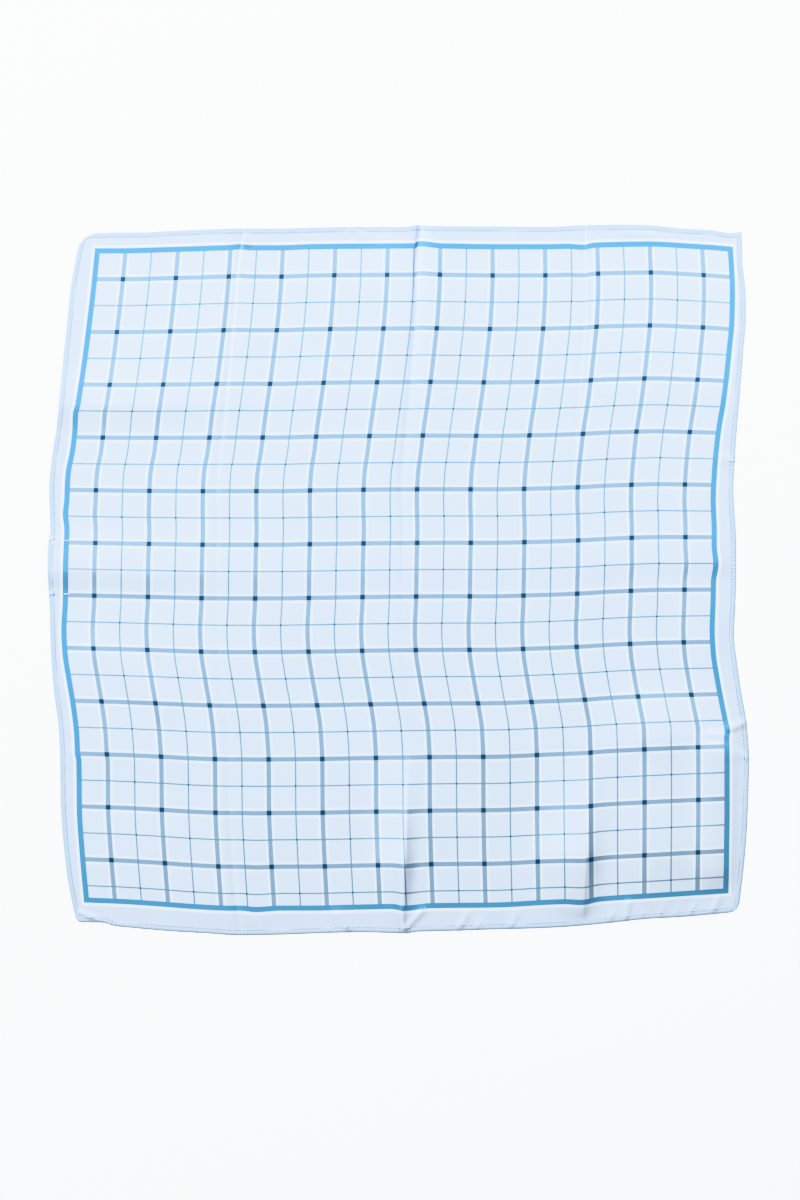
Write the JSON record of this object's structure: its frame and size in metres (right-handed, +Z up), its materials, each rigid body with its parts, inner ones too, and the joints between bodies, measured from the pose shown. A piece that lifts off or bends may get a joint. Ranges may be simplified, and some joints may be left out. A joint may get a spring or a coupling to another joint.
{
  "type": "bandana",
  "caption": "Square satin bandana opened out flat, with a narrow stitched hem, a plain border, a windowpane check and the soft creases of its last folding.",
  "frame": {"origin": "centre of the laid cloth's bounding box, on the surface it lies on", "axes": "+X to the cloth's right edge, +Y to its back edge, which is the picture's top edge, +Z up from the surface"},
  "size_m": [0.675, 0.684, 0.0059],
  "materials": {
    "satin": "smooth printed satin, pale blue with mid-blue lines, soft sheen",
    "thread": "fine pale sewing thread"
  },
  "bodies": {
    "root": {"bandana": "satin"}
  },
  "joints": []
}
